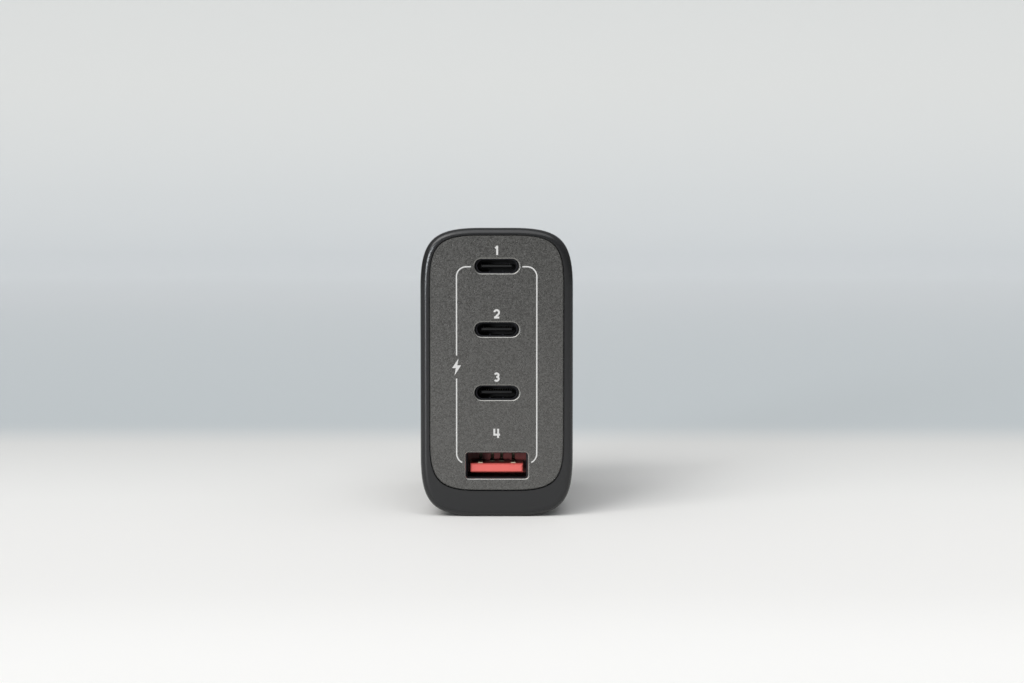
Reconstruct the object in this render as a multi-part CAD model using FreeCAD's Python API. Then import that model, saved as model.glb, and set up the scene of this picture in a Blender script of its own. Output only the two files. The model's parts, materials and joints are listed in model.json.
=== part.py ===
import FreeCAD
import Part
import os

from FreeCAD import Vector

# Millimetres. X is the width, -Y the port side, +Y the plug side, and Z is up from the table.

# Case
case_width = 32.2
case_height = 61.0
case_depth = 66.0
corner_blend = 12.7
corner_fullness = 0.8
case_wall = 2.0
rear_wall = 2.2
front_round = 1.4
rear_round = 2.0
cover_depth = 5.5
seam_chamfer = 0.25
lip_length = 3.2
lip_thickness = 1.2
lip_clearance = 0.1
past = 1.0

# Front panel and its seat
panel_side_margin = 2.05
panel_top_margin = 1.65
panel_chin = 5.65
panel_blend = 10.2
panel_thickness = 1.2
panel_gap = 0.2
panel_recess = 0.15
panel_edge_chamfer = 0.15
tape_thickness = 0.1
seat_width = 1.5
seat_thickness = 1.4

# Places of the ports on the panel
usb_c_count = 3
first_port_drop = 6.4
last_port_rise = 5.2
usb_a_extra_space = 2.05
port_round = 0.35
mouth_gap = 0.05
receptacle_length = 12.65
shell_thickness = 0.3

# USB-C receptacle
usb_c_width = 8.34
usb_c_height = 2.56
usb_c_opening_width = 9.36
usb_c_opening_height = 3.0
usb_c_tongue_width = 6.69
usb_c_tongue_thickness = 0.7
usb_c_tongue_setback = 0.9
usb_c_tongue_edge = 0.18
usb_c_cavity_depth = 6.2
usb_c_contact_pitch = 0.5
usb_c_contact_width = 0.26
usb_c_contact_thickness = 0.06
usb_c_contact_setback = 0.45
usb_c_contacts_per_side = 12
dimple_spacing = 2.76
dimple_radius = 0.32
dimple_height = 0.2
dimple_depth = 1.1

# USB-A receptacle
usb_a_width = 12.5
usb_a_height = 5.12
usb_a_corner = 0.35
usb_a_opening_width = 13.12
usb_a_opening_height = 5.5
usb_a_opening_corner = 0.65
usb_a_tongue_width = 11.1
usb_a_tongue_thickness = 1.84
usb_a_tongue_offset = 0.74
usb_a_tongue_setback = 0.9
usb_a_tongue_edge = 0.25
usb_a_cavity_depth = 8.8
usb_a_contact_places = (-3.5, -1.0, 1.0, 3.5)
usb_a_contact_width = 0.6
usb_a_tip_width = 0.95
usb_a_contact_thickness = 0.2
usb_a_tip_height = 0.55
usb_a_tip_length = 1.2
usb_a_outer_setback = 1.0
usb_a_inner_setback = 4.6
usb_a_groove_depth = 2.4
usb_a_groove_side = 0.05
usb_a_leg_setback = 1.8

# Folding plug
axis_above_middle = 9.5
carrier_radius = 3.4
carrier_side = 1.7
carrier_edge = 0.4
carrier_clearance = 0.15
flush_recess = 0.1
journal_radius = 1.5
journal_length = 1.9
journal_clearance = 0.05
blade_spacing = 12.7
blade_thickness = 1.52
blade_width = 6.35
blade_reach = 20.2
blade_tip_chamfer = 1.3
blade_tip_bevel = 0.35
blade_hole = 3.2
blade_hole_from_face = 11.7
tail_width = 3.0
tail_reach = 5.0
slot_clearance = 0.2
trough_wall = 1.0
cheek_side = 0.3
cheek_depth = 4.8
scoop_radius = 9.0
scoop_depth = 1.3
scoop_side = 2.4
scoop_above_tip = 1.0
recess_edge = 0.3

# Retainer, its screws and the leaf contacts
retainer_thickness = 1.5
retainer_side = 0.5
retainer_height = 24.0
retainer_corner = 2.0
contact_thickness = 0.4
contact_width = 3.0
contact_height = 7.0
contact_gap = 0.1
boss_radius = 2.6
boss_from_axis = 8.6
screw_radius = 1.0
screw_clearance = 0.15
screw_bite = 4.2
screw_head_radius = 2.0
screw_head_height = 1.3
screw_head_gap = 0.7
screw_head_edge = 0.4
screw_slot_width = 0.6
screw_slot_length = 2.8
screw_slot_depth = 0.6

# Boards and the shell features that hold them
board_thickness = 1.6
rail_wall = 1.2
rail_height = 2.2
rail_clearance = 0.05
board_edge_gap = 0.8
stop_width = 1.2
stop_height = 2.0
stop_from_middle = 15.0
port_board_side_gap = 0.9
port_board_end_gap = 3.0
port_board_corner = 3.0
input_board_below_axis = 11.0
input_board_top_gap = 0.6
input_board_side_gap = 4.0
input_part_margin = 0.6
input_part_gap = 1.2

# Cooling, measured inwards from the side walls
spreader_gap = 0.6
spreader_thickness = 0.8
spreader_length = 28.0
spreader_height = 36.0
spreader_corner = 1.5
pad_margin = 2.5
left_pad_thickness = 1.8
right_pad_thickness = 2.0
chip_height = 1.4

# Transformer and power choke, standing on the main board
transformer_length = 15.6
transformer_height = 18.0
transformer_post = 3.0
transformer_plate = 3.4
transformer_from_bottom = 3.2
choke_length = 10.4
choke_height = 15.0
choke_rise = 14.0
choke_post = 1.7
choke_plate = 2.6
choke_from_front = 1.6
choke_from_bottom = 4.4
core_leg = 1.6
bobbin_wall = 0.7
winding_margin = 0.4

# Capacitors
bulk_radius = 5.0
bulk_top_gap = 2.2
bulk_pitch = 11.4
bulk_from_top = 10.0
bulk_from_front = 10.2
output_radius = 4.0
output_length = 8.0
output_pitch = 8.6
output_from_top = 8.0
output_from_side = 6.0
film_width = 6.0
film_depth = 8.6
film_edge = 0.5
disc_radius = 3.6
disc_thickness = 3.0
disc_edge = 0.7
safety_from_front = 2.6
safety_above_choke = 1.2
crimp_depth = 0.4
crimp_height = 1.9
can_top_edge = 0.5

# Line filter and the rest
filter_radius = 5.6
filter_bore = 3.0
filter_thickness = 5.0
filter_wire = 0.9
filter_gap = 2.0
fuse_radius = 1.9
fuse_end_gap = 1.0
bridge_length = 8.0
bridge_height = 9.0
bridge_above_middle = 11.0
switch_side = 6.0
switch_pitch = 10.0
switches_below_middle = 9.0
control_board_thickness = 0.8
control_board_rise = 13.0
control_board_height = 18.0
control_board_from_top = 4.0
control_chip_side = 5.0
control_chip_thickness = 0.9
control_board_from_front = 8.8

# Worked out from the sizes above
half_width = case_width / 2
front_y = -case_depth / 2
rear_y = case_depth / 2
seam_y = rear_y - cover_depth
inner_half = half_width - case_wall
panel_half = half_width - panel_side_margin
panel_top = case_height - panel_top_margin
panel_bottom = panel_chin
panel_face_y = front_y + panel_recess
panel_back_y = panel_face_y + panel_thickness
seat_y = panel_back_y + tape_thickness
seat_back_y = seat_y + seat_thickness
mouth_y = panel_back_y + mouth_gap
port_board_y = mouth_y + receptacle_length
port_back_y = port_board_y + board_thickness
port_span = panel_top - panel_bottom - first_port_drop - last_port_rise
port_pitch = (port_span - usb_a_extra_space) / usb_c_count
usb_c_places = [panel_top - first_port_drop - port_pitch * i for i in range(usb_c_count)]
usb_a_place = panel_bottom + last_port_rise
middle_z = case_height / 2
axis_z = middle_z + axis_above_middle
axis_y = rear_y - flush_recess - carrier_radius
cover_inner_y = rear_y - rear_wall
blade_tip_z = axis_z - blade_reach
slot_half = blade_thickness / 2 + slot_clearance
blade_outer_x = blade_spacing / 2 + blade_thickness / 2
carrier_half = blade_outer_x + carrier_side
journal_end = carrier_half + journal_length
carrier_bore = carrier_radius + carrier_clearance
slot_floor_y = axis_y - blade_width / 2 - slot_clearance
contact_face_y = axis_y - tail_reach - contact_gap
retainer_face_y = contact_face_y - contact_thickness
retainer_back_y = retainer_face_y - retainer_thickness
input_back_y = retainer_back_y - screw_head_height - screw_head_gap
input_front_y = input_back_y - board_thickness
left_spreader_x = -inner_half + spreader_gap
left_pad_x = left_spreader_x + spreader_thickness
chip_x = left_pad_x + left_pad_thickness
board_left_x = chip_x + chip_height
board_right_x = board_left_x + board_thickness
right_spreader_x = inner_half - spreader_gap - spreader_thickness
board_bottom = case_wall + board_edge_gap
board_top = case_height - board_bottom
boss_places = (axis_z - boss_from_axis, axis_z + boss_from_axis)
input_low = axis_z - input_board_below_axis
input_high = board_top - rail_height - input_board_top_gap
filter_span = 2 * (filter_radius + filter_wire)
film_height = input_high - input_low - filter_span - 3 * input_part_margin
fuse_length = film_height - fuse_end_gap
choke_y = port_back_y + choke_from_front + choke_length / 2
transformer_y = (choke_y + choke_length / 2 + input_front_y) / 2
transformer_rise = right_spreader_x - right_pad_thickness - board_right_x
bulk_length = right_spreader_x - bulk_top_gap - board_right_x

across = Vector(1, 0, 0)
rearward = Vector(0, 1, 0)
upward = Vector(0, 0, 1)


def block(x0, x1, y0, y1, z0, z1):
    return Part.makeBox(x1 - x0, y1 - y0, z1 - z0, Vector(x0, y0, z0))


def rod(axis, radius, length, x, y, z):
    return Part.makeCylinder(radius, length, Vector(x, y, z), axis)


def join(shapes):
    whole = shapes[0]
    for shape in shapes[1:]:
        whole = whole.fuse(shape)
    return whole.removeSplitter()


def edges_at(shape, y):
    return [e for e in shape.Edges if all(abs(v.Y - y) < 1e-6 for v in e.Vertexes)]


def edges_along_y(shape):
    return [e for e in shape.Edges if abs(e.Vertexes[0].Y - e.Vertexes[-1].Y) > 1e-6]


def round_edges(shape):
    return [e for e in shape.Edges if e.Curve.TypeId == "Part::GeomCircle"]


def corner_curve(sx, sz, half, end_z, blend):
    handle = blend * (1 - corner_fullness)
    side = [(sx * half, end_z - sz * blend), (sx * half, end_z - sz * handle)]
    flat = [(sx * (half - handle), end_z), (sx * (half - blend), end_z)]
    return side + flat


def outline(half, bottom, top, blend, y):
    # Straight sides joined by four full corners, each one cubic curve
    right_low = corner_curve(1, -1, half, bottom, blend)[::-1]
    right_top = corner_curve(1, 1, half, top, blend)
    left_top = corner_curve(-1, 1, half, top, blend)[::-1]
    left_low = corner_curve(-1, -1, half, bottom, blend)
    runs = [right_low, right_top, left_top, left_low]
    edges = []
    for i, run in enumerate(runs):
        curve = Part.BezierCurve()
        curve.setPoles([Vector(x, y, z) for x, z in run])
        edges.append(curve.toShape())
        start = Vector(run[-1][0], y, run[-1][1])
        end_x, end_z = runs[(i + 1) % 4][0]
        edges.append(Part.makeLine(start, Vector(end_x, y, end_z)))
    return Part.Wire(edges)


def case_solid(inset, y0, y1):
    wire = outline(half_width - inset, inset, case_height - inset, corner_blend - inset, y0)
    return Part.Face(wire).extrude(Vector(0, y1 - y0, 0))


def panel_solid(grow, y0, y1):
    wire = outline(panel_half + grow, panel_bottom - grow, panel_top + grow, panel_blend + grow, y0)
    return Part.Face(wire).extrude(Vector(0, y1 - y0, 0))


def rounded_bar(width, height, radius, z, y0, y1):
    bar = block(-width / 2, width / 2, y0, y1, z - height / 2, z + height / 2)
    return bar.makeFillet(radius, edges_along_y(bar))


def stadium_bar(width, height, z, y0, y1):
    radius = height / 2
    reach = width / 2 - radius
    left = rod(rearward, radius, y1 - y0, -reach, y0, z)
    right = rod(rearward, radius, y1 - y0, reach, y0, z)
    middle = block(-reach, reach, y0, y1, z - radius, z + radius)
    return join([middle, left, right])


def main_shell():
    sleeve = case_solid(0, front_y, seam_y)
    sleeve = sleeve.makeFillet(front_round, edges_at(sleeve, front_y))
    sleeve = sleeve.makeChamfer(seam_chamfer, edges_at(sleeve, seam_y))
    shell = sleeve.cut(case_solid(case_wall, seat_back_y, seam_y + past))
    shell = shell.cut(panel_solid(panel_gap, front_y - past, seat_y))
    shell = shell.cut(panel_solid(-seat_width, seat_y - past, seat_back_y + past))
    return join([shell] + board_rails() + board_stops())


def board_rails():
    # A pair of ribs on the floor and on the ceiling holds the main board's long edges
    sunk = case_wall / 2
    left_x = board_left_x - rail_clearance - rail_wall
    right_x = board_right_x + rail_clearance
    rails = []
    for x in (left_x, right_x):
        for z0, z1 in ((sunk, board_bottom + rail_height), (board_top - rail_height, case_height - sunk)):
            rails.append(block(x, x + rail_wall, port_back_y, input_back_y, z0, z1))
    inside = case_solid(sunk, front_y, rear_y)
    return [rail.common(inside) for rail in rails]


def board_stops():
    # Ribs along both walls that the port board is pushed against
    tip_x = inner_half - stop_height
    root_x = half_width - case_wall / 2
    root_y = seat_back_y - seat_thickness / 2
    stops = []
    for step in (-1, 1):
        z0 = middle_z + step * stop_from_middle - stop_width / 2
        z1 = z0 + stop_width
        stops.append(block(tip_x, root_x, root_y, port_board_y, z0, z1))
        stops.append(block(-root_x, -tip_x, root_y, port_board_y, z0, z1))
    return stops


def front_panel():
    plate = panel_solid(0, panel_face_y, panel_back_y)
    plate = plate.makeChamfer(panel_edge_chamfer, edges_at(plate, panel_face_y))
    ends = (panel_face_y - past, panel_back_y + past)
    for z in usb_c_places:
        plate = plate.cut(stadium_bar(usb_c_opening_width, usb_c_opening_height, z, *ends))
    sizes = (usb_a_opening_width, usb_a_opening_height, usb_a_opening_corner)
    plate = plate.cut(rounded_bar(*sizes, usb_a_place, *ends))
    face = [f for f in plate.Faces if all(abs(v.Y - panel_face_y) < 1e-6 for v in f.Vertexes)][0]
    rims = [e for w in face.Wires if not w.isSame(face.OuterWire) for e in w.Edges]
    return plate.makeFillet(port_round, rims)


def panel_adhesive():
    frame = panel_solid(0, panel_back_y, seat_y)
    return frame.cut(panel_solid(-seat_width, panel_back_y - past, seat_y + past))


def usb_c_shell(z):
    outer_width = usb_c_width + 2 * shell_thickness
    outer_height = usb_c_height + 2 * shell_thickness
    tube = stadium_bar(outer_width, outer_height, z, mouth_y, port_board_y)
    tube = tube.cut(stadium_bar(usb_c_width, usb_c_height, z, mouth_y - past, port_board_y + past))
    floor_z = z - usb_c_height / 2
    bumps = []
    sunk = shell_thickness / 2
    for side in (-1, 1):
        x = side * dimple_spacing / 2
        y = mouth_y + dimple_depth
        bumps.append(rod(upward, dimple_radius, dimple_height + sunk, x, y, floor_z - sunk))
    return join([tube] + bumps)


def usb_c_tongue(z):
    base_y = mouth_y + usb_c_cavity_depth
    tip_y = mouth_y + usb_c_tongue_setback
    base = stadium_bar(usb_c_width, usb_c_height, z, base_y, port_board_y)
    half = usb_c_tongue_thickness / 2
    reach = usb_c_tongue_width / 2
    plate = block(-reach, reach, tip_y, base_y, z - half, z + half)
    plate = plate.makeChamfer(usb_c_tongue_edge, edges_at(plate, tip_y))
    return join([base, plate.cut(usb_c_contacts(z))])


def usb_c_contacts(z):
    # Rows of strips let in flush with both faces of the tongue
    tip_y = mouth_y + usb_c_tongue_setback + usb_c_contact_setback
    base_y = mouth_y + usb_c_cavity_depth
    half = usb_c_tongue_thickness / 2
    first = -usb_c_contact_pitch * (usb_c_contacts_per_side - 1) / 2
    strips = []
    for i in range(usb_c_contacts_per_side):
        x0 = first + usb_c_contact_pitch * i - usb_c_contact_width / 2
        x1 = x0 + usb_c_contact_width
        strips.append(block(x0, x1, tip_y, base_y, z + half - usb_c_contact_thickness, z + half))
        strips.append(block(x0, x1, tip_y, base_y, z - half, z - half + usb_c_contact_thickness))
    return Part.makeCompound(strips)


def usb_a_shell():
    outer_width = usb_a_width + 2 * shell_thickness
    outer_height = usb_a_height + 2 * shell_thickness
    outer_corner = usb_a_corner + shell_thickness
    tube = rounded_bar(outer_width, outer_height, outer_corner, usb_a_place, mouth_y, port_board_y)
    ends = (mouth_y - past, port_board_y + past)
    return tube.cut(rounded_bar(usb_a_width, usb_a_height, usb_a_corner, usb_a_place, *ends))


def usb_a_tongue_top():
    return usb_a_place - usb_a_tongue_offset + usb_a_tongue_thickness / 2


def usb_a_tongue():
    back_y = mouth_y + usb_a_cavity_depth
    tip_y = mouth_y + usb_a_tongue_setback
    top_z = usb_a_tongue_top()
    base = rounded_bar(usb_a_width, usb_a_height, usb_a_corner, usb_a_place, back_y, port_board_y)
    reach = usb_a_contact_width / 2 + usb_a_groove_side
    ends = (back_y - past, back_y + usb_a_groove_depth)
    for x in usb_a_contact_places:
        base = base.cut(block(x - reach, x + reach, *ends, top_z, usb_a_place + usb_a_height))
    half = usb_a_tongue_width / 2
    bar = block(-half, half, tip_y, back_y, top_z - usb_a_tongue_thickness, top_z)
    bar = bar.makeChamfer(usb_a_tongue_edge, edges_at(bar, tip_y))
    return join([base, bar])


def usb_a_contacts():
    # Flat strips on the tongue, each with a wider raised tip and a leg that turns up in its slot
    top_z = usb_a_tongue_top()
    back_y = mouth_y + usb_a_cavity_depth + usb_a_groove_depth
    low = top_z + usb_a_contact_thickness
    half = usb_a_contact_width / 2
    half_tip = usb_a_tip_width / 2
    leg_y = mouth_y + usb_a_cavity_depth + usb_a_leg_setback
    leg_ends = (leg_y, leg_y + usb_a_contact_thickness)
    leg_top = usb_a_place + usb_a_height / 2 - usb_a_groove_side
    strips = []
    for x in usb_a_contact_places:
        outer = abs(x) == max(usb_a_contact_places)
        setback = usb_a_outer_setback if outer else usb_a_inner_setback
        y0 = mouth_y + usb_a_tongue_setback + setback
        y1 = y0 + usb_a_tip_length
        crest = ((y0 + y1) / 2, top_z + usb_a_tip_height)
        points = [(y0, top_z), (y0, low), crest, (y1, low), (y1, top_z), (y0, top_z)]
        side = Part.makePolygon([Vector(x - half_tip, y, z) for y, z in points])
        tip = Part.Face(side).extrude(Vector(usb_a_tip_width, 0, 0))
        strip = block(x - half, x + half, y1, back_y, top_z, low)
        leg = block(x - half, x + half, *leg_ends, top_z, leg_top)
        strips.append(join([tip, strip, leg]))
    return Part.makeCompound(strips)


def rear_cover():
    cap = case_solid(0, seam_y, rear_y)
    cap = cap.makeFillet(rear_round, edges_at(cap, rear_y))
    cap = cap.makeChamfer(seam_chamfer, edges_at(cap, seam_y))
    lip_outer = case_wall + lip_clearance
    lip_inner = lip_outer + lip_thickness
    lip_y = seam_y - lip_length
    cap = cap.cut(case_solid(lip_inner, seam_y - past, cover_inner_y))
    lip = case_solid(lip_outer, lip_y, seam_y)
    lip = lip.cut(case_solid(lip_inner, lip_y - past, seam_y + past))
    body = join([cap, lip] + troughs() + cheeks() + bosses())
    for cutter in plug_spaces() + boss_holes():
        body = body.cut(cutter)
    body = body.removeSplitter()
    face = [f for f in body.Faces if all(abs(v.Y - rear_y) < 1e-6 for v in f.Vertexes)][0]
    rims = [e for w in face.Wires if not w.isSame(face.OuterWire) for e in w.Edges]
    return body.makeChamfer(recess_edge, rims)


def troughs():
    # Closed moulded boxes behind the wall that take the folded blades
    half = slot_half + trough_wall
    floor_y = slot_floor_y - trough_wall
    root_y = rear_y - rear_wall / 2
    bottom = blade_tip_z - slot_clearance - trough_wall
    centres = (-blade_spacing / 2, blade_spacing / 2)
    return [block(x - half, x + half, floor_y, root_y, bottom, axis_z) for x in centres]


def cheeks():
    # Bearing blocks at both ends of the carrier
    near = carrier_half + carrier_clearance
    far = journal_end + cheek_side
    ends = (cover_inner_y - cheek_depth, rear_y - rear_wall / 2)
    sides = (axis_z - carrier_radius, axis_z + carrier_radius)
    return [block(near, far, *ends, *sides), block(-far, -near, *ends, *sides)]


def bosses():
    length = rear_y - rear_wall / 2 - retainer_face_y
    return [rod(rearward, boss_radius, length, 0, retainer_face_y, z) for z in boss_places]


def boss_holes():
    return [rod(rearward, screw_radius, screw_bite, 0, retainer_face_y, z) for z in boss_places]


def plug_spaces():
    # Window for the carrier, slots for the blades and tails, journal seats and the finger scoop
    reach = carrier_half + carrier_clearance
    seat_radius = journal_radius + journal_clearance
    seat_reach = journal_end + journal_clearance
    scoop_half = blade_outer_x + scoop_side
    scoop_y = rear_y - scoop_depth + scoop_radius
    scoop_z = blade_tip_z + scoop_above_tip
    spaces = [
        block(-reach, reach, axis_y, rear_y + past, axis_z - carrier_bore, axis_z + carrier_bore),
        rod(across, carrier_bore, 2 * reach, -reach, axis_y, axis_z),
        rod(across, seat_radius, 2 * seat_reach, -seat_reach, axis_y, axis_z),
        block(-seat_reach, seat_reach, retainer_face_y, axis_y, axis_z - seat_radius, axis_z + seat_radius),
        rod(across, scoop_radius, 2 * scoop_half, -scoop_half, scoop_y, scoop_z),
    ]
    tail_top_y = axis_y + tail_width / 2 + slot_clearance
    tail_top_z = axis_z + tail_reach + slot_clearance
    for x in (-blade_spacing / 2, blade_spacing / 2):
        x0 = x - slot_half
        x1 = x + slot_half
        spaces.append(block(x0, x1, slot_floor_y, rear_y + past, blade_tip_z - slot_clearance, axis_z))
        spaces.append(block(x0, x1, contact_face_y, tail_top_y, axis_z - tail_width, tail_top_z))
    return spaces


def plug_carrier():
    # Round behind, with one square corner whose two faces lie flush in turn
    barrel = rod(across, carrier_radius, 2 * carrier_half, -carrier_half, axis_y, axis_z)
    corner_y = axis_y + carrier_radius
    corner_z = axis_z - carrier_radius
    corner = block(-carrier_half, carrier_half, axis_y, corner_y, corner_z, axis_z)
    corner = corner.makeFillet(carrier_edge, [e for e in corner.Edges if edge_on(e, corner_y, corner_z)])
    journals = rod(across, journal_radius, 2 * journal_end, -journal_end, axis_y, axis_z)
    body = join([barrel, corner, journals])
    for side in (-1, 1):
        body = body.cut(blade(side))
    return body


def edge_on(edge, y, z):
    return all(abs(v.Y - y) < 1e-6 and abs(v.Z - z) < 1e-6 for v in edge.Vertexes)


def blade(side):
    # Flat strip, narrow inside the carrier, with a rounded tail concentric with the hinge
    x0 = side * blade_spacing / 2 - blade_thickness / 2
    x1 = x0 + blade_thickness
    face_z = axis_z - carrier_radius
    tail_half = tail_width / 2
    tail = block(x0, x1, axis_y - tail_half, axis_y + tail_half, face_z, axis_z + tail_reach)
    tail = tail.common(rod(across, tail_reach, blade_thickness, x0, axis_y, axis_z))
    strip = block(x0, x1, axis_y - blade_width / 2, axis_y + blade_width / 2, blade_tip_z, face_z)
    corners = [e for e in strip.Edges if abs(e.Vertexes[0].X - e.Vertexes[1].X) > 1e-6]
    corners = [e for e in corners if abs(e.Vertexes[0].Z - blade_tip_z) < 1e-6]
    strip = strip.makeChamfer(blade_tip_chamfer, corners)
    ends = [e for e in strip.Edges if all(abs(v.Z - blade_tip_z) < 1e-6 for v in e.Vertexes)]
    ends = [e for e in ends if abs(e.Vertexes[0].Y - e.Vertexes[1].Y) > 1e-6]
    strip = strip.makeChamfer(blade_tip_bevel, ends)
    hole = rod(across, blade_hole / 2, blade_thickness, x0, axis_y, face_z - blade_hole_from_face)
    return join([strip.cut(hole), tail])


def plug_retainer():
    half = journal_end + retainer_side
    low = axis_z - retainer_height / 2
    plate = block(-half, half, retainer_back_y, retainer_face_y, low, low + retainer_height)
    plate = plate.makeFillet(retainer_corner, edges_along_y(plate))
    near = carrier_half + carrier_clearance + journal_clearance
    ends = (retainer_back_y, axis_y - journal_radius - journal_clearance)
    sides = (axis_z - journal_radius, axis_z + journal_radius)
    posts = [block(near, journal_end, *ends, *sides), block(-journal_end, -near, *ends, *sides)]
    body = join([plate] + posts)
    hole_radius = screw_radius + screw_clearance
    for z in boss_places:
        body = body.cut(rod(rearward, hole_radius, retainer_thickness, 0, retainer_back_y, z))
    for side in (-1, 1):
        body = body.cut(leaf_contact(side))
    return body


def leaf_contact(side):
    # Face strip under the blade's tail, bent through the retainer to reach the input board
    x0 = side * blade_spacing / 2 - contact_width / 2
    x1 = x0 + contact_width
    low = axis_z - contact_height / 2
    face = block(x0, x1, retainer_face_y, contact_face_y, low, low + contact_height)
    tab = block(x0, x1, input_back_y, contact_face_y, low, low + contact_thickness)
    return join([face, tab])


def retainer_screws():
    top_y = retainer_back_y - screw_head_height
    half_slot = screw_slot_width / 2
    half_length = screw_slot_length / 2
    screws = []
    for z in boss_places:
        head = rod(rearward, screw_head_radius, screw_head_height, 0, top_y, z)
        head = head.makeChamfer(screw_head_edge, edges_at(head, top_y))
        slot_ends = (top_y - past, top_y + screw_slot_depth)
        head = head.cut(block(-half_slot, half_slot, *slot_ends, z - half_length, z + half_length))
        shank = rod(rearward, screw_radius, retainer_thickness + screw_bite, 0, retainer_back_y, z)
        screws.append(join([head, shank]))
    return Part.makeCompound(screws)


def port_board():
    half = inner_half - port_board_side_gap
    low = case_wall + port_board_end_gap
    board = block(-half, half, port_board_y, port_back_y, low, case_height - low)
    return board.makeFillet(port_board_corner, edges_along_y(board))


def main_board():
    return block(board_left_x, board_right_x, port_back_y, input_front_y, board_bottom, board_top)


def input_board():
    right_x = inner_half - input_board_side_gap
    return block(board_left_x, right_x, input_front_y, input_back_y, input_low, input_high)


def wound_part(length, height, rise, post, plate, y, z):
    # Core, bobbin and winding round one post that stands on the main board
    x0 = board_right_x
    gap = rise - 2 * plate
    core = block(x0, x0 + rise, y - length / 2, y + length / 2, z - height / 2, z + height / 2)
    room = length / 2 - core_leg
    core = core.cut(block(x0 + plate, x0 + rise - plate, y - room, y + room, z - height, z + height))
    core = join([core, rod(across, post, gap, x0 + plate, y, z)])
    tube = rod(across, post + bobbin_wall, gap, x0 + plate, y, z)
    low_flange = rod(across, room, bobbin_wall, x0 + plate, y, z)
    high_flange = rod(across, room, bobbin_wall, x0 + rise - plate - bobbin_wall, y, z)
    bobbin = join([tube, low_flange, high_flange]).cut(rod(across, post, gap, x0 + plate, y, z))
    turns = rod(across, room - winding_margin, gap - 2 * bobbin_wall, x0 + plate + bobbin_wall, y, z)
    winding = turns.cut(rod(across, post + bobbin_wall, gap, x0 + plate, y, z))
    return core, bobbin, winding


def transformer():
    z = board_bottom + transformer_from_bottom + transformer_height / 2
    sizes = (transformer_length, transformer_height, transformer_rise, transformer_post, transformer_plate)
    return wound_part(*sizes, transformer_y, z)


def power_choke():
    z = board_bottom + choke_from_bottom + choke_height / 2
    return wound_part(choke_length, choke_height, choke_rise, choke_post, choke_plate, choke_y, z)


def can_capacitor(axis, radius, length, place):
    # Turned can with a crimp groove near its foot and a rounded top
    low = crimp_height - crimp_depth
    high = crimp_height + crimp_depth
    foot = [(0, 0), (radius, 0), (radius, low), (radius - crimp_depth, crimp_height), (radius, high)]
    top = [(radius, length - can_top_edge), (radius - can_top_edge, length), (0, length)]
    points = [place + upward * r + axis * h for r, h in foot + top]
    return Part.Face(Part.makePolygon(points + points[:1])).revolve(place, axis, 360)


def bulk_capacitor(index):
    y = port_back_y + bulk_from_front + bulk_radius
    z = board_top - bulk_from_top - bulk_pitch * index
    return can_capacitor(across, bulk_radius, bulk_length, Vector(board_right_x, y, z))


def output_capacitor(index):
    x = inner_half - output_from_side
    z = board_top - output_from_top - output_pitch * index
    return can_capacitor(rearward, output_radius, output_length, Vector(x, port_back_y, z))


def film_capacitor():
    x0 = board_right_x + input_part_margin
    low = input_low + input_part_margin
    box = block(x0, x0 + film_width, input_front_y - film_depth, input_front_y, low, low + film_height)
    return box.makeChamfer(film_edge, edges_at(box, input_front_y - film_depth))


def filter_place():
    x = board_right_x + input_part_margin + filter_radius + filter_wire
    z = input_high - input_part_margin - filter_radius - filter_wire
    return x, z


def filter_ring(grow, y0, y1):
    x, z = filter_place()
    ring = rod(rearward, filter_radius + grow, y1 - y0, x, y0, z)
    return ring.cut(rod(rearward, filter_bore - grow, y1 - y0, x, y0, z))


def filter_core():
    y1 = input_front_y - filter_wire
    return filter_ring(0, y1 - filter_thickness, y1)


def filter_winding():
    # Two windings on opposite halves of the ring
    x, z = filter_place()
    y0 = input_front_y - filter_thickness - 2 * filter_wire
    wrap = filter_ring(filter_wire, y0, input_front_y).cut(filter_core())
    half_gap = filter_gap / 2
    half_span = filter_span / 2
    return wrap.cut(block(x - half_gap, x + half_gap, y0, input_front_y, z - half_span, z + half_span))


def line_fuse():
    x = board_right_x + input_part_margin + film_width + input_part_gap + fuse_radius
    low = input_low + input_part_margin
    return rod(upward, fuse_radius, fuse_length, x, input_front_y - fuse_radius, low)


def surge_disc():
    fuse = line_fuse().BoundBox
    x = fuse.XMax + input_part_gap
    z = input_low + input_part_margin + disc_radius
    disc = rod(across, disc_radius, disc_thickness, x, input_front_y - disc_radius, z)
    return disc.makeChamfer(disc_edge, round_edges(disc))


def safety_capacitor():
    y = port_back_y + safety_from_front + disc_radius
    z = board_bottom + choke_from_bottom + choke_height + safety_above_choke
    disc = rod(upward, disc_radius, disc_thickness, board_right_x + disc_radius, y, z)
    return disc.makeChamfer(disc_edge, round_edges(disc))


def control_board():
    y0 = port_back_y + control_board_from_front
    z1 = board_top - control_board_from_top
    return block(board_right_x, board_right_x + control_board_rise, y0, y0 + control_board_thickness,
                 z1 - control_board_height, z1)


def control_chip():
    y1 = port_back_y + control_board_from_front
    x = board_right_x + control_board_rise / 2
    z = board_top - control_board_from_top - control_board_height / 2
    half = control_chip_side / 2
    return block(x - half, x + half, y1 - control_chip_thickness, y1, z - half, z + half)


def bridge_rectifier():
    z = middle_z + bridge_above_middle
    return block(chip_x, board_left_x, -bridge_length / 2, bridge_length / 2,
                 z - bridge_height / 2, z + bridge_height / 2)


def power_switches():
    half = switch_side / 2
    chips = []
    for step in (-1, 1):
        y = step * switch_pitch / 2
        z = middle_z - switches_below_middle
        chips.append(block(chip_x, board_left_x, y - half, y + half, z - half, z + half))
    return Part.makeCompound(chips)


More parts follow.
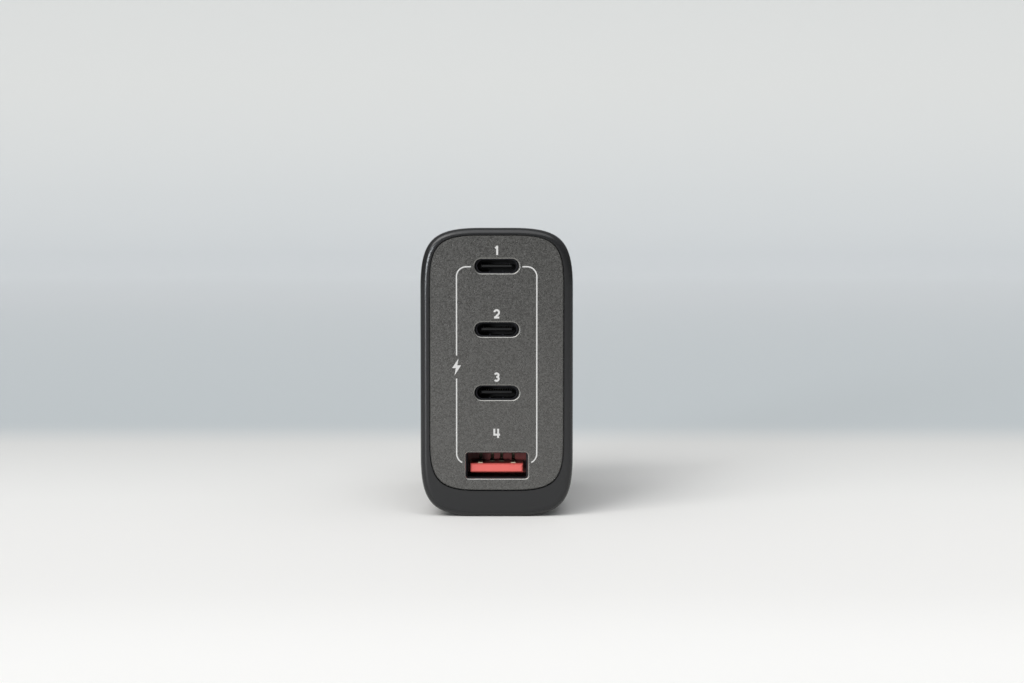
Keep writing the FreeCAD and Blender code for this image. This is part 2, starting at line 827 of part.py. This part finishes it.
def spreader(x0):
    half = spreader_length / 2
    low = middle_z - spreader_height / 2
    plate = block(x0, x0 + spreader_thickness, -half, half, low, low + spreader_height)
    corners = [e for e in plate.Edges if abs(e.Vertexes[0].X - e.Vertexes[1].X) > 1e-6]
    return plate.makeFillet(spreader_corner, corners)


def thermal_pad_left():
    half = spreader_length / 2 - pad_margin
    low = middle_z - spreader_height / 2 + pad_margin
    high = middle_z + spreader_height / 2 - pad_margin
    return block(left_pad_x, chip_x, -half, half, low, high)


def thermal_pad_right():
    # Fills the space from the transformer's top plate to the spreader
    box = transformer_core.BoundBox
    z0 = max(box.ZMin, middle_z - spreader_height / 2)
    y1 = min(box.YMax, spreader_length / 2)
    return block(box.XMax, right_spreader_x, box.YMin, y1, z0, box.ZMax)


transformer_core, transformer_bobbin, transformer_winding = transformer()
choke_core, choke_bobbin, choke_winding = power_choke()

nodes = {
    "main_shell": main_shell(),
    "rear_cover": rear_cover(),
    "front_panel": front_panel(),
    "panel_adhesive": panel_adhesive(),
    "plug_carrier": plug_carrier(),
    "blade_left": blade(-1),
    "blade_right": blade(1),
    "plug_retainer": plug_retainer(),
    "retainer_screws": retainer_screws(),
    "contact_left": leaf_contact(-1),
    "contact_right": leaf_contact(1),
    "usb_a_shell": usb_a_shell(),
    "usb_a_tongue": usb_a_tongue(),
    "usb_a_contacts": usb_a_contacts(),
    "port_board": port_board(),
    "main_board": main_board(),
    "input_board": input_board(),
    "control_board": control_board(),
    "control_chip": control_chip(),
    "transformer_core": transformer_core,
    "transformer_bobbin": transformer_bobbin,
    "transformer_winding": transformer_winding,
    "choke_core": choke_core,
    "choke_bobbin": choke_bobbin,
    "choke_winding": choke_winding,
    "filter_core": filter_core(),
    "filter_winding": filter_winding(),
    "film_capacitor": film_capacitor(),
    "safety_capacitor": safety_capacitor(),
    "line_fuse": line_fuse(),
    "surge_disc": surge_disc(),
    "bridge_rectifier": bridge_rectifier(),
    "power_switches": power_switches(),
    "heat_spreader_left": spreader(left_spreader_x),
    "heat_spreader_right": spreader(right_spreader_x),
    "thermal_pad_left": thermal_pad_left(),
    "thermal_pad_right": thermal_pad_right(),
}
for i, z in enumerate(usb_c_places):
    nodes["usb_c_shell_%d" % (i + 1)] = usb_c_shell(z)
    nodes["usb_c_tongue_%d" % (i + 1)] = usb_c_tongue(z)
    nodes["usb_c_contacts_%d" % (i + 1)] = usb_c_contacts(z)
for i in range(2):
    nodes["bulk_capacitor_%d" % (i + 1)] = bulk_capacitor(i)
for i in range(3):
    nodes["output_capacitor_%d" % (i + 1)] = output_capacitor(i)

os.makedirs("parts", exist_ok=True)
for name, shape in nodes.items():
    shape.exportStep("parts/%s.step" % name)
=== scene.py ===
import json
import math

import bmesh
import bpy
from mathutils import Matrix, Vector


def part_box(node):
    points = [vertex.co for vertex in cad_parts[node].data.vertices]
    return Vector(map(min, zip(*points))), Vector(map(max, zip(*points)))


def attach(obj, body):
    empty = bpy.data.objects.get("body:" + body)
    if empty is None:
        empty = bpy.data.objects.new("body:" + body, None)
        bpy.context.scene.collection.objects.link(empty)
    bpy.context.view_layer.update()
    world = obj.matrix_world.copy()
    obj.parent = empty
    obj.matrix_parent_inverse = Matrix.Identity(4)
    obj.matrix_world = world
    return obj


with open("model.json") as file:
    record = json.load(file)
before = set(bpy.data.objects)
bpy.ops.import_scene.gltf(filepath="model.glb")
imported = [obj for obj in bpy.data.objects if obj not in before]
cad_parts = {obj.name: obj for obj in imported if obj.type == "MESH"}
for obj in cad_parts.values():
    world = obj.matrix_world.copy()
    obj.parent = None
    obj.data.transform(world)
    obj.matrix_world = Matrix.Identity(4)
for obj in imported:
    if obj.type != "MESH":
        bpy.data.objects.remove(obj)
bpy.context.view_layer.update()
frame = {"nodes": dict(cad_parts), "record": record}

scene = bpy.context.scene
scene.view_settings.view_transform = "Standard"
nodes = frame["nodes"]
print("frame loaded:", len(nodes), "nodes")

fineGrain = dict(detail=3.0, roughness=0.6)  # crisp specks
broadGrain = dict(detail=2.0, roughness=0.5)  # soft clouds
black = (0.0, 0.0, 0.0, 1.0)
white = (1.0, 1.0, 1.0, 1.0)


class Shade:  # a shader socket that sums can be written with
    def __init__(self, tree, socket=None):
        self.tree = tree
        self.socket = socket

    def node(self, kind, settings=None, inputs=None, output=0):
        made = self.tree.nodes.new(kind)
        for key, value in (settings or {}).items():
            if key == "stops":
                ramp = made.color_ramp.elements
                while len(ramp) < len(value):
                    ramp.new(0.5)
                for element, (place, colour) in zip(ramp, value):
                    element.position = place
                    element.color = colour
            else:
                setattr(made, key, value)
        feed(made, inputs or {})
        return Shade(self.tree, made.outputs[output])

    def maths(self, operation, first, second):
        return self.node("ShaderNodeMath", {"operation": operation}, {0: first, 1: second})

    def __add__(self, other):
        return self.maths("ADD", self, other)

    def __sub__(self, other):
        return self.maths("SUBTRACT", self, other)

    def __rsub__(self, other):
        return self.maths("SUBTRACT", other, self)

    def __mul__(self, other):
        return self.maths("MULTIPLY", self, other)

    def __truediv__(self, other):
        return self.maths("DIVIDE", self, other)

    __radd__ = __add__
    __rmul__ = __mul__

    def place(self):  # the piece's own coordinates, in metres
        return self.node("ShaderNodeTexCoord", output="Object")

    def part(self, vector, axis):  # one of a vector's three numbers
        return self.node("ShaderNodeSeparateXYZ", None, {"Vector": vector}, output=axis)

    def grain(self, size, kind, vector=None):  # noise, about 0 to 1, with specks of that size
        return self.node("ShaderNodeTexNoise", {"noise_dimensions": "3D"}, {
            "Vector": vector or self.place(),
            "Scale": 1.0 / size,
            "Detail": kind["detail"],
            "Roughness": kind["roughness"],
        })

    def blend(self, amount, first, second):  # from the first colour to the second
        inputs = {0: amount, 6: first, 7: second}
        return self.node("ShaderNodeMix", {"data_type": "RGBA"}, inputs, output=2)

    def tones(self, amount, colour, spread):  # from a darker to a lighter tone of one colour
        return self.blend(amount, tint(colour, 1 - spread), tint(colour, 1 + spread))

    def step(self, value, low, high):  # rises smoothly from 0 to 1 between two values
        return self.node("ShaderNodeMapRange", {"interpolation_type": "SMOOTHSTEP"},
                         {"Value": value, "From Min": low, "From Max": high})

    def fade(self, colour, look):  # painted shade: the colour darkens towards black with the depth behind the port's mouth, standing in for the port's own shade
        if "paintedShadeLevel" not in look:
            return colour
        amount = self.step(self.part(self.place(), 1), look["near"], look["far"])
        return self.blend(amount * (1.0 - look["paintedShadeLevel"]), colour, black)

    def bump(self, height, strength, distance):
        return self.node("ShaderNodeBump", None,
                         {"Strength": strength, "Distance": distance, "Height": height})


def feed(node, values):  # sets plain values, links the ones that vary
    for key, value in values.items():
        if isinstance(value, Shade):
            value.tree.links.new(value.socket, node.inputs[key])
        else:
            node.inputs[key].default_value = value


def tint(colour, factor):
    return tuple(min(1.0, channel * factor) for channel in colour) + (1.0,)


def uneven(amount, look):  # roughness that varies evenly about its middle
    return amount * look["roughSpread"] + (look["rough"] - look["roughSpread"] / 2)


def newFinish(name):
    material = bpy.data.materials.new(name)
    material.use_nodes = True
    tree = material.node_tree
    return material, Shade(tree), tree.nodes["Principled BSDF"]


moulding = dict(fineShare=0.6, broadShare=0.4, bumpDepth=0.3, specular=0.5)


def mouldedPlastic(name, look):  # spark-eroded mould texture with a faint drift of tone
    material, shader, principled = newFinish(name)
    fine = shader.grain(look["grain"], fineGrain)
    broad = shader.grain(look["drift"], broadGrain)
    mixing = fine * moulding["fineShare"] + broad * moulding["broadShare"]
    feed(principled, {
        # the base colour carries painted shade deeper in a port where the look gives depths for it
        "Base Color": shader.fade(shader.tones(mixing, look["colour"], look["spread"]), look),
        "Roughness": uneven(fine, look),
        "Normal": shader.bump(fine, look["bump"], look["grain"] * moulding["bumpDepth"]),
        "Specular IOR Level": look.get("specular", moulding["specular"]),
    })
    return material


def metallicPaint(name, look):  # fine flakes in a satin paint, with bright cut edges
    material, shader, principled = newFinish(name)
    flakes = shader.node("ShaderNodeTexVoronoi", {"feature": "F1"},
                         {"Vector": shader.place(), "Scale": 1.0 / look["flake"]}, output="Color")
    spark = shader.node("ShaderNodeSeparateColor", None, {"Color": flakes}, output=0)
    cloud = shader.grain(look["cloud"], fineGrain)
    broad = shader.grain(look["drift"], broadGrain)
    mixing = spark * look["sparkShare"] + cloud * look["cloudShare"] + broad * look["broadShare"]
    paint = shader.tones(mixing, look["colour"], look["spread"])
    normal = shader.node("ShaderNodeTexCoord", output="Normal")
    outward = shader.part(normal, 1) * -1.0  # 1 on the panel's face, 0 in its holes
    flat = shader.step(outward, *look["flatFrom"])
    cut = shader.step(outward, *look["cutFrom"])
    edge = shader.tones(cloud, look["edgeColour"], look["edgeSpread"])
    bare = shader.blend(cut, tint(look["holeColour"], 1.0), edge)
    feed(principled, {
        "Base Color": shader.blend(flat, bare, paint),
        "Roughness": flat * uneven(spark, look) + (1.0 - flat) * look["edgeRough"],
        "Metallic": flat * look["metal"] + (cut - flat) * look["edgeMetal"],
        "Normal": shader.bump(spark * 0.5 + cloud * 0.5, look["bump"], look["bumpDepth"]),
    })
    return material


plating = dict(streakShare=0.5, hazeShare=0.5, bumpDepth=0.2)


def platedMetal(name, look):  # drawn or plated metal with fine streaks
    material, shader, principled = newFinish(name)
    stretched = shader.node("ShaderNodeMapping", None,
                            {"Vector": shader.place(), "Scale": look["streak"]})
    streaks = shader.grain(look["grain"], fineGrain, stretched)
    haze = shader.grain(look["drift"], broadGrain)
    mixing = streaks * plating["streakShare"] + haze * plating["hazeShare"]
    feed(principled, {
        # the base colour carries painted shade deeper in a port where the look gives depths for it
        "Base Color": shader.fade(shader.tones(mixing, look["colour"], look["spread"]), look),
        "Roughness": uneven(streaks, look),
        "Metallic": 1.0,
        "Normal": shader.bump(streaks, look["bump"], look["grain"] * plating["bumpDepth"]),
    })
    return material


turns = dict(bandScale=0.314,  # width of one band at scale 1
             distortion=0.4, detail=1.0, bandShare=0.7, grimeShare=0.3,
             dark=0.55, light=1.1, bump=0.5, bumpDepth=0.3)


def wireTurns(name, look):  # rows of wire or tape edges, seen as fine bands
    material, shader, principled = newFinish(name)
    bands = shader.node("ShaderNodeTexWave", {"wave_type": "BANDS", "bands_direction": look["along"]}, {
        "Vector": shader.place(),
        "Scale": turns["bandScale"] / look["wire"],
        "Distortion": turns["distortion"],
        "Detail": turns["detail"],
    }, output="Fac")
    grime = shader.grain(look["drift"], broadGrain)
    mixing = bands * turns["bandShare"] + grime * turns["grimeShare"]
    dark, light = tint(look["colour"], turns["dark"]), tint(look["colour"], turns["light"])
    feed(principled, {
        "Base Color": shader.blend(mixing, dark, light),
        "Roughness": uneven(grime, look),
        "Metallic": look["metal"],
        "Normal": shader.bump(bands, turns["bump"], look["wire"] * turns["bumpDepth"]),
    })
    return material


def circuitBoard(name, look):  # solder mask over faint copper tracks
    material, shader, principled = newFinish(name)
    cells = shader.node("ShaderNodeTexVoronoi", {"feature": "DISTANCE_TO_EDGE"},
                        {"Vector": shader.place(), "Scale": 1.0 / look["track"]}, output="Distance")
    tracks = shader.node("ShaderNodeValToRGB", {"stops": look["edge"]}, {"Fac": cells})
    mask = shader.grain(look["drift"], broadGrain)
    overCopper, bare = tint(look["colour"], look["overCopper"]), tint(look["colour"], 1.0)
    feed(principled, {
        "Base Color": shader.blend(tracks, overCopper, bare),
        "Roughness": uneven(mask, look),
        "Normal": shader.bump(cells, look["bump"], look["bumpDepth"]),
    })
    return material


print("building finishes")
finishes = {}
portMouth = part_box("usb_a_tongue")[0][1]

case = dict(colour=(0.0125, 0.0128, 0.0135), rough=0.22, roughSpread=0.06, grain=0.00016,
            drift=0.012, spread=0.09, bump=0.1, specular=0.42)
finishes["case"] = mouldedPlastic("case satin", case)

panel = dict(colour=(0.118, 0.116, 0.111), rough=0.27, roughSpread=0.08, metal=0.85, spread=0.28,
             flake=0.00024, cloud=0.000384, drift=0.01,
             sparkShare=0.65, cloudShare=0.2, broadShare=0.15, bump=0.18, bumpDepth=0.00006,
             edgeColour=(0.34, 0.335, 0.32), edgeSpread=0.15, edgeRough=0.34, edgeMetal=0.8,
             holeColour=(0.02, 0.02, 0.021), flatFrom=(0.85, 0.95), cutFrom=(0.25, 0.4))
finishes["panel"] = metallicPaint("panel metallic grey", panel)

hinge = dict(case, colour=(0.022, 0.0225, 0.0235), rough=0.36)
finishes["hinge_plastic"] = mouldedPlastic("hinge satin", hinge)

tape = dict(colour=(0.018, 0.018, 0.018), rough=0.8, roughSpread=0.1, grain=0.0003,
            drift=0.006, spread=0.2, bump=0.2)
finishes["tape"] = mouldedPlastic("panel tape", tape)

inner = dict(colour=(0.13, 0.13, 0.13), rough=0.55, roughSpread=0.1, grain=0.0002,
             drift=0.008, spread=0.12, bump=0.15)
finishes["inner_plastic"] = mouldedPlastic("inner moulding", inner)

portBlack = dict(colour=(0.008, 0.008, 0.0085), rough=0.5, roughSpread=0.1, grain=0.0002,
                 drift=0.004, spread=0.2, bump=0.08, specular=0.3)
finishes["port_black"] = mouldedPlastic("socket black", portBlack)

# painted shade: the red darkens to 35% of its colour from 1 mm to 7 mm behind the port's mouth
portRed = dict(colour=(0.7, 0.119, 0.103), rough=0.38, roughSpread=0.08, grain=0.0002,
               drift=0.005, spread=0.08, bump=0.06,
               near=portMouth + 0.001, far=portMouth + 0.007, paintedShadeLevel=0.35)
finishes["port_red"] = mouldedPlastic("socket red", portRed)

bobbin = dict(colour=(0.07, 0.06, 0.05), rough=0.5, roughSpread=0.1, grain=0.0003,
              drift=0.006, spread=0.12, bump=0.15)
finishes["bobbin"] = mouldedPlastic("bobbin moulding", bobbin)

sleeve = dict(colour=(0.035, 0.035, 0.042), rough=0.3, roughSpread=0.08, grain=0.0005,
              drift=0.006, spread=0.15, bump=0.08)
finishes["can_sleeve"] = mouldedPlastic("capacitor sleeve", sleeve)

filmCase = dict(colour=(0.62, 0.46, 0.07), rough=0.42, roughSpread=0.1, grain=0.0004,
                drift=0.006, spread=0.1, bump=0.12)
finishes["film_case"] = mouldedPlastic("film capacitor box", filmCase)

discCoat = dict(colour=(0.06, 0.16, 0.36), rough=0.35, roughSpread=0.1, grain=0.0006,
                drift=0.004, spread=0.12, bump=0.2)
finishes["disc_coat"] = mouldedPlastic("dipped disc coat", discCoat)

fuseTube = dict(colour=(0.66, 0.62, 0.54), rough=0.3, roughSpread=0.08, grain=0.0005,
                drift=0.005, spread=0.06, bump=0.06)
finishes["fuse_tube"] = mouldedPlastic("fuse tube", fuseTube)

chip = dict(colour=(0.022, 0.022, 0.023), rough=0.5, roughSpread=0.1, grain=0.00015,
            drift=0.005, spread=0.18, bump=0.2)
finishes["chip"] = mouldedPlastic("chip package", chip)

ferrite = dict(colour=(0.05, 0.05, 0.053), rough=0.62, roughSpread=0.14, grain=0.00035,
               drift=0.006, spread=0.22, bump=0.35)
finishes["ferrite"] = mouldedPlastic("sintered core", ferrite)

pad = dict(colour=(0.36, 0.39, 0.43), rough=0.75, roughSpread=0.1, grain=0.0004,
           drift=0.008, spread=0.08, bump=0.25)
finishes["pad"] = mouldedPlastic("soft thermal pad", pad)

printInk = dict(colour=(0.51, 0.505, 0.495), rough=0.55, roughSpread=0.1, grain=0.00012,
                drift=0.004, spread=0.07, bump=0.1)
finishes["print"] = mouldedPlastic("white print", printInk)

blade = dict(colour=(0.66, 0.64, 0.6), rough=0.28, roughSpread=0.14, grain=0.0003,
             drift=0.006, spread=0.08, bump=0.08, streak=(1.0, 1.0, 0.12))
finishes["blade"] = platedMetal("nickel plated blade", blade)

# the shell metal is coloured near black
portShell = dict(colour=(0.026, 0.026, 0.029), rough=0.42, roughSpread=0.14, grain=0.0002,
                 drift=0.004, spread=0.15, bump=0.06, streak=(1.0, 0.15, 1.0))
finishes["port_shell"] = platedMetal("near black shell", portShell)

bronze = dict(colour=(0.62, 0.36, 0.19), rough=0.36, roughSpread=0.1, grain=0.0002,
              drift=0.003, spread=0.08, bump=0.05, streak=(1.0, 0.2, 1.0))
finishes["spring_metal"] = platedMetal("spring bronze", bronze)

# painted shade: the contacts darken to 15% of their colour from 2.2 mm to 5 mm behind the port's mouth
gold = dict(bronze, colour=(0.78, 0.68, 0.5), rough=0.32,
            near=portMouth + 0.0022, far=portMouth + 0.005, paintedShadeLevel=0.15)
finishes["contact_gold"] = platedMetal("gold flash", gold)

zinc = dict(blade, colour=(0.55, 0.55, 0.53), rough=0.36)
finishes["screw"] = platedMetal("zinc plate", zinc)

canMetal = dict(blade, colour=(0.72, 0.72, 0.73), rough=0.34, streak=(1.0, 0.15, 1.0))
finishes["can_metal"] = platedMetal("bare can", canMetal)

spreaderMetal = dict(blade, colour=(0.72, 0.72, 0.74), rough=0.42, streak=(1.0, 0.08, 1.0))
finishes["spreader"] = platedMetal("mill finish sheet", spreaderMetal)

windingTape = dict(colour=(0.66, 0.46, 0.05), rough=0.365, roughSpread=0.15, drift=0.004,
                   wire=0.004, metal=0.0, along="X")
finishes["winding_tape"] = wireTurns("winding tape", windingTape)

windingCopper = dict(colour=(0.55, 0.22, 0.08), rough=0.345, roughSpread=0.15, drift=0.003,
                     wire=0.0005, metal=0.7, along="X")
finishes["winding_copper"] = wireTurns("enamelled turns", windingCopper)

board = dict(colour=(0.012, 0.075, 0.036), rough=0.36, roughSpread=0.12, drift=0.004,
             track=0.0028, edge=[(0.0, black), (0.07, black), (0.1, white)], overCopper=1.5,
             bump=0.15, bumpDepth=0.00003)
finishes["board"] = circuitBoard("solder mask", board)

for sub in frame["record"]["subparts"]:
    for slot in nodes[sub["node"]].material_slots:
        slot.material = finishes[sub["material_slot"]]


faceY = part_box("front_panel")[0][1]
quarter = math.pi / 2


def portCentre(name):
    low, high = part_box(name)
    return (low[2] + high[2]) / 2


def selectOnly(piece):
    bpy.ops.object.select_all(action="DESELECT")
    piece.select_set(True)
    bpy.context.view_layer.objects.active = piece


def applyPlace(piece):
    selectOnly(piece)
    bpy.ops.object.transform_apply(location=True, rotation=True, scale=True)


ink = dict(thickness=0.00003, turnSteps=12)


def finishPrint(piece):  # the ink stays on the panel
    piece.data.materials.clear()
    piece.data.materials.append(finishes["print"])
    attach(piece, "charger")


def thicken(piece):  # gives the ink its thickness
    selectOnly(piece)
    layer = piece.modifiers.new("ink", "SOLIDIFY")
    layer.thickness = ink["thickness"]
    layer.offset = 1.0
    bpy.ops.object.modifier_apply(modifier=layer.name)


def selectEdges(piece, test):  # picks the edges whose two ends both pass the test
    bpy.context.tool_settings.mesh_select_mode = (False, True, False)
    bpy.ops.mesh.select_all(action="DESELECT")
    mesh = bmesh.from_edit_mesh(piece.data)
    for edge in mesh.edges:
        if all(test(vert.co) for vert in edge.verts):
            edge.select_set(True)
    mesh.select_flush_mode()
    bmesh.update_edit_mesh(piece.data)


def faceOutwards(piece):  # flat print shows its front to the port side
    bpy.ops.mesh.select_all(action="SELECT")
    bpy.ops.mesh.normals_make_consistent(inside=False)
    mesh = bmesh.from_edit_mesh(piece.data)
    mesh.normal_update()
    if sum(face.normal.y for face in mesh.faces) > 0:
        bpy.ops.mesh.flip_normals()


def inkLine(name, start, heading, width, moves):
    # a stroke on the panel: a first run, then more runs and turns
    # headings are in degrees as seen from the front, 0 to the right and 90 up
    angle = math.radians(heading)
    along = Vector((math.cos(angle), 0, math.sin(angle)))
    origin = Vector((start[0], faceY, start[1]))
    length = moves[0][1]
    bpy.ops.object.select_all(action="DESELECT")
    bpy.ops.mesh.primitive_plane_add(size=1, location=origin + along * length / 2,
                                     rotation=(quarter, math.radians(90 - heading), 0))
    piece = bpy.context.object
    piece.name = name
    piece.scale = (width, length, 1)
    applyPlace(piece)
    bpy.ops.object.mode_set(mode="EDIT")
    selectEdges(piece, lambda co: (co - origin).dot(along) > length / 2)
    tip = origin + along * length
    for kind, size, *bend in moves[1:]:
        if kind == "run":
            bpy.ops.mesh.extrude_region_move(TRANSFORM_OT_translate={"value": along * size})
            tip = tip + along * size
        else:
            angle = math.radians(bend[0])  # left turns are positive
            side = 1 if angle > 0 else -1
            centre = tip + Vector((-along.z, 0, along.x)) * side * size
            bpy.ops.mesh.spin(steps=ink["turnSteps"], angle=-angle, center=centre, axis=(0, -1, 0))
            turn = Matrix.Rotation(-angle, 3, "Y")
            tip = centre + turn @ (tip - centre)
            along = turn @ along
    faceOutwards(piece)
    bpy.ops.object.mode_set(mode="OBJECT")
    thicken(piece)
    return piece


bracket = dict(reach=0.00845, width=0.00027, topRun=0.00096, corner=0.00207, topDrop=0.00014,
               gapTop=0.03413, gapBottom=0.02926, lowCorner=0.01337, lowTurn=64)


def bracketLine(name, start, heading, moves):
    finishPrint(inkLine(name, start, heading, bracket["width"], moves))


def bracketTop(side, lowZ):  # from a curl beside the first port down to lowZ
    across = side * (bracket["reach"] - bracket["corner"] - bracket["topRun"])
    topZ = portCentre("usb_c_shell_1") - bracket["topDrop"]
    fall = topZ - bracket["corner"] - lowZ
    moves = [("run", bracket["topRun"]), ("turn", bracket["corner"], -side * 90), ("run", fall)]
    return (across, topZ), moves


start, moves = bracketTop(1, bracket["lowCorner"])
moves.append(("turn", bracket["corner"], -bracket["lowTurn"]))
bracketLine("bracketRight", start, 0, moves)
start, moves = bracketTop(-1, bracket["gapTop"])
bracketLine("bracketLeftUpper", start, 180, moves)
moves = [("run", bracket["gapBottom"] - bracket["lowCorner"]),
         ("turn", bracket["corner"], bracket["lowTurn"])]
bracketLine("bracketLeftLower", (-bracket["reach"], bracket["gapBottom"]), -90, moves)
print("bracket printed")


mm = 0.001
numbers = dict(width=0.0004, aboveC=0.00233, aboveA=0.00585, strokes={  # strokes in millimetres
    "1": [(0.12, 0.0, 90, [("run", 1.95)]),
          (0.24, 1.8, 215, [("run", 0.66)])],
    "2": [(-0.499, 1.321, 75, [("run", 0.06), ("turn", 0.5, -210), ("run", 0.98)]),
          (-0.55, 0.2, 0, [("run", 1.12)])],
    "3": [(-0.36, 1.53, 60, [("run", 0.06), ("turn", 0.39, -240)]),
          (-0.06, 1.04, 0, [("run", 0.06), ("turn", 0.42, -240)])],
    "4": [(0.3, 0.0, 90, [("run", 1.95)]),
          (-0.5, 1.95, -90, [("run", 1.25)]),
          (-0.7, 0.7, 0, [("run", 1.4)])],
})


def portNumber(digit, baseZ):  # one plain digit over a port
    parts = []
    for x, z, heading, moves in numbers["strokes"][digit]:
        metres = [(kind, size * mm, *bend) for kind, size, *bend in moves]
        parts.append(inkLine("stroke", (x * mm, baseZ + z * mm), heading, numbers["width"], metres))
    for part in parts[1:]:  # the strokes melt into one
        selectOnly(parts[0])
        weld = parts[0].modifiers.new("weld", "BOOLEAN")
        weld.operation = "UNION"
        weld.object = part
        bpy.ops.object.modifier_apply(modifier=weld.name)
        selectOnly(part)
        bpy.ops.object.delete()
    parts[0].name = "number" + digit
    finishPrint(parts[0])


for digit in "123":
    portNumber(digit, portCentre("usb_c_shell_" + digit) + numbers["aboveC"])
portNumber("4", portCentre("usb_a_shell") + numbers["aboveA"])
print("numbers printed")


boltMark = dict(height=0.0036, outline=[(0.12, 0.5), (-0.26, -0.06), (-0.04, -0.06),
                                        (-0.12, -0.5), (0.26, 0.1), (0.04, 0.1)])


def powerMark():  # a plain lightning bolt in the break of the left line
    centreZ = (bracket["gapTop"] + bracket["gapBottom"]) / 2
    place = (-bracket["reach"], faceY, centreZ)
    bpy.ops.object.select_all(action="DESELECT")
    bpy.ops.mesh.primitive_circle_add(vertices=len(boltMark["outline"]), radius=1, fill_type="NGON",
                                      location=place, rotation=(quarter, 0, 0))
    piece = bpy.context.object
    piece.name = "powerMark"
    for vert, (x, y) in zip(piece.data.vertices, boltMark["outline"]):
        vert.co = (x * boltMark["height"], y * boltMark["height"], 0)
    applyPlace(piece)
    bpy.ops.object.mode_set(mode="EDIT")
    faceOutwards(piece)
    bpy.ops.object.mode_set(mode="OBJECT")
    thicken(piece)
    finishPrint(piece)


powerMark()
print("power mark printed")


stage = dict(size=6.0, bend=1.2, bendSteps=24, edgeRoom=0.01, rough=0.75, specular=0.2,
             tones=[  # by the distance behind the charger's middle, in metres: the table's and backdrop's own colours, with painted falloff of light on the table and painted shade across the bend
                 # painted falloff of light: the table is brightest just in front of the charger and
                 # darker away from it
                 (-0.6, (0.72, 0.715, 0.705)), (-0.215, (0.965, 0.955, 0.94)),
                 (-0.17, (0.96, 0.95, 0.935)), (-0.12, (0.88, 0.87, 0.855)),
                 (-0.05, (0.86, 0.85, 0.835)), (0.0, (0.835, 0.83, 0.815)),
                 (0.12, (0.68, 0.68, 0.67)), (0.18, (0.5, 0.537, 0.555)),
                 (1.6, (0.55, 0.573, 0.59)), (3.0, (0.56, 0.583, 0.6)),
                 # painted shade: darker across the bend, which the lamps light more
                 (3.3, (0.497, 0.517, 0.531)), (3.6, (0.498, 0.512, 0.516)),
                 (3.9, (0.523, 0.527, 0.518))])


def buildStage():  # white table that turns into a pale backdrop behind the charger; its tones paint light and shade as well as colour
    material, shader, principled = newFinish("pale floor")
    first, last = stage["tones"][0][0], stage["tones"][-1][0]
    stops = [((far - first) / (last - first), tint(colour, 1.0)) for far, colour in stage["tones"]]
    along = (shader.part(shader.place(), 1) - first) / (last - first)
    feed(principled, {
        "Base Color": shader.node("ShaderNodeValToRGB", {"stops": stops}, {"Fac": along}),
        "Roughness": stage["rough"],
        "Specular IOR Level": stage["specular"],
    })
    half = stage["size"] / 2
    bpy.ops.object.select_all(action="DESELECT")
    bpy.ops.mesh.primitive_plane_add(size=stage["size"], location=(0, 0, 0))
    floor = bpy.context.object
    floor.name = "floor"
    bpy.ops.object.mode_set(mode="EDIT")
    selectEdges(floor, lambda co: co.y > half - stage["edgeRoom"])
    bpy.ops.mesh.spin(steps=stage["bendSteps"], angle=-quarter, center=(0, half, stage["bend"]),
                      axis=(1, 0, 0))
    bpy.ops.mesh.extrude_region_move(TRANSFORM_OT_translate={"value": (0, 0, half)})
    bpy.ops.object.mode_set(mode="OBJECT")
    bpy.ops.object.shade_smooth()
    floor.data.materials.append(material)


buildStage()

lamps = [
    dict(name="key", towards=(-0.485, -0.62, 0.616), strength=1.31, angle=38,
         colour=(1.0, 0.985, 0.96)),
    dict(name="window", towards=(-0.43, -0.895, 0.1), strength=1.06, angle=12,
         colour=(0.92, 0.96, 1.0)),
    dict(name="fill", towards=(-0.08, -0.57, 0.818), strength=1.25, angle=56,
         colour=(0.98, 0.99, 1.0)),
]
aim = Vector((0, 0, 0.03))
lampDistance = 2.0
for lamp in lamps:
    towards = Vector(lamp["towards"]).normalized()
    bpy.ops.object.light_add(type="SUN", location=aim + towards * lampDistance,
                             rotation=towards.to_track_quat("Z", "Y").to_euler())
    bpy.context.object.name = lamp["name"]
    light = bpy.context.object.data
    light.energy = lamp["strength"]
    light.color = lamp["colour"]
    light.angle = math.radians(lamp["angle"])

room = dict(colour=(0.97, 0.985, 1.0, 1.0), horizon=0.1, overhead=0.46, full=0.8)  # brighter overhead
world = bpy.data.worlds.new("soft room")
scene.world = world
world.use_nodes = True
sky = Shade(world.node_tree)
heading = sky.node("ShaderNodeTexCoord", output="Generated")
rise = sky.step(sky.part(heading, 2), 0.0, room["full"])
level = rise * (room["overhead"] - room["horizon"]) + room["horizon"]
feed(world.node_tree.nodes["Background"], {"Color": room["colour"], "Strength": level})

view = dict(lens=70.16, sensor=36, place=(0.00323, -0.4525, 0.0576), pitch=2.8)
tilt = math.radians(90 - view["pitch"])
bpy.ops.object.camera_add(location=view["place"], rotation=(tilt, 0, 0))
camera = bpy.context.object
camera.data.sensor_width = view["sensor"]
camera.data.lens = view["lens"]
scene.camera = camera
print("stage, lamps and camera set")
